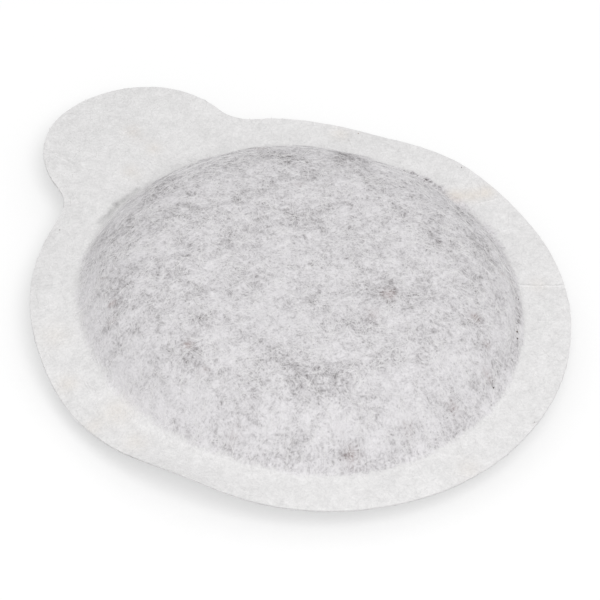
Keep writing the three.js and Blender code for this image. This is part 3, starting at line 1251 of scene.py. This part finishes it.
class POD_OT_stage(bpy.types.Operator):
    """Set the camera, the floor and the light."""

    bl_idname = "pod.stage"
    bl_label = "Studio"

    def execute(self, context):
        settings = context.scene.pod_stage
        self.add_camera(context)
        self.add_floor(settings)
        self.add_light(context, settings)
        context.scene.view_settings.view_transform = "Standard"
        return {"FINISHED"}

    def add_camera(self, context):
        """Set the camera where the photograph was taken from."""
        elevation = math.radians(CAMERA_ELEVATION)
        turn = math.radians(CAMERA_TURN)
        level = Vector((math.cos(turn), -math.sin(turn), 0))
        back = Vector((-math.sin(turn), -math.cos(turn), 0)) * math.cos(elevation)
        back.z = math.sin(elevation)
        rise = back.cross(level)
        roll = Matrix.Rotation(math.radians(CAMERA_ROLL), 3, back)
        right = roll @ level
        up = roll @ rise
        centre = FRAME_PIXELS / 2
        aside = (DISC_CENTRE_PIXEL[0] - centre) / PIXELS_PER_MM * MM
        below = (DISC_CENTRE_PIXEL[1] - centre) / PIXELS_PER_MM * MM
        target = Vector((0, 0, SEAL_HEIGHT * MM)) - right * aside + up * below
        data = bpy.data.cameras.new("photo_camera")
        data.sensor_width = SENSOR_MM
        data.lens = PIXELS_PER_MM / MM * CAMERA_DISTANCE * SENSOR_MM / FRAME_PIXELS
        data.clip_start = NEAR_CLIP
        camera = bpy.data.objects.new("photo_camera", data)
        turned = Matrix((right, up, back)).transposed().to_4x4()
        camera.matrix_world = Matrix.Translation(target + back * CAMERA_DISTANCE) @ turned
        context.collection.objects.link(camera)
        context.scene.camera = camera

    def add_floor(self, settings):
        """Lay a pale floor that the camera sees as white where no shadow falls."""
        bpy.ops.object.select_all(action="DESELECT")
        bpy.ops.mesh.primitive_plane_add(size=FLOOR_SIZE)
        floor = bpy.context.object
        floor.name = "floor"
        material, tree = new_material("white_sweep")
        seen = add_node(tree, "LightPath", output="Is Camera Ray")
        # The lamp reaches less far than the floor, so away from the pod the glow makes up for it.
        place = add_node(tree, "TexCoord", output="Object")
        away = add_node(tree, "VectorMath", (place,), output="Value", operation="LENGTH")
        glow = {
            "Value": away,
            "From Min": GLOW_GROWS[0],
            "From Max": GLOW_GROWS[1],
            "To Min": settings.floor_glow,
            "To Max": 1.0,
        }
        glow = add_node(tree, "MapRange", glow)
        glow = add_node(tree, "Math", (seen, glow), operation="MULTIPLY")
        matt = add_node(tree, "BsdfDiffuse", {"Color": with_alpha(settings.floor_colour)})
        shine = add_node(tree, "Emission", {"Strength": glow})
        both = add_node(tree, "AddShader", (matt, shine))
        add_node(tree, "OutputMaterial", {"Surface": both})
        floor.data.materials.append(material)

    def add_light(self, context, settings):
        """Light the pod from all round, and from one soft lamp in front of it."""
        world = bpy.data.worlds.new("white_tent")
        world.use_nodes = True
        tree = world.node_tree
        tree.nodes.clear()
        seen = 0.0
        for ray in ("Is Camera Ray", "Is Glossy Ray", "Is Transmission Ray"):
            ray = add_node(tree, "LightPath", output=ray)
            seen = add_node(tree, "Math", (seen, ray), operation="MAXIMUM")
        strength = {"Value": seen, "To Min": settings.sky_level, "To Max": 1.0}
        strength = add_node(tree, "MapRange", strength)
        glow = add_node(tree, "Background", {"Color": (1, 1, 1, 1), "Strength": strength})
        add_node(tree, "OutputWorld", {"Surface": glow})
        context.scene.world = world
        place = Vector(LAMP_PLACE)
        data = bpy.data.lights.new("soft_box", "AREA")
        data.shape = "DISK"
        data.size = LAMP_SIZE
        data.energy = settings.lamp_level * (math.pi * place.length) ** 2
        lamp = bpy.data.objects.new("soft_box", data)
        lamp.matrix_world = Matrix.Translation(place) @ place.to_track_quat("Z", "Y").to_matrix().to_4x4()
        context.collection.objects.link(lamp)


class POD_PT_panel(bpy.types.Panel):
    """Lists the pod's pieces in the sidebar."""

    bl_idname = "POD_PT_panel"
    bl_label = "Coffee pod"
    bl_space_type = "VIEW_3D"
    bl_region_type = "UI"
    bl_category = "Coffee pod"

    def draw(self, context):
        for name in SETTINGS:
            group = getattr(context.scene, name)
            box = self.layout.box()
            for key in group.__annotations__:
                box.prop(group, key)
        for operator in OPERATORS:
            self.layout.operator(operator.bl_idname)


SETTINGS = {
    "pod_paper": PodPaperSettings,
    "pod_coffee": PodCoffeeSettings,
    "pod_fibres": PodFibreSettings,
    "pod_stage": PodStageSettings,
}
OPERATORS = [
    POD_OT_stage,
    POD_OT_upper_paper,
    POD_OT_lower_paper,
    POD_OT_coffee_cake,
    POD_OT_fibres,
    POD_OT_edge_fibres,
    POD_OT_long_fibres,
    POD_OT_specks,
]


def register():
    """Make the settings, operators and panel known."""
    for name, group in SETTINGS.items():
        bpy.utils.register_class(group)
        setattr(bpy.types.Scene, name, bpy.props.PointerProperty(type=group))
    for kind in (*OPERATORS, POD_PT_panel):
        bpy.utils.register_class(kind)


def unregister():
    """Forget the panel, operators and settings."""
    for kind in (POD_PT_panel, *reversed(OPERATORS)):
        bpy.utils.unregister_class(kind)
    for name, group in SETTINGS.items():
        delattr(bpy.types.Scene, name)
        bpy.utils.unregister_class(group)


def main():
    """Make every piece in order."""
    register()
    for operator in OPERATORS:
        group, name = operator.bl_idname.split(".")
        getattr(getattr(bpy.ops, group), name)()


if __name__ == "__main__":
    main()
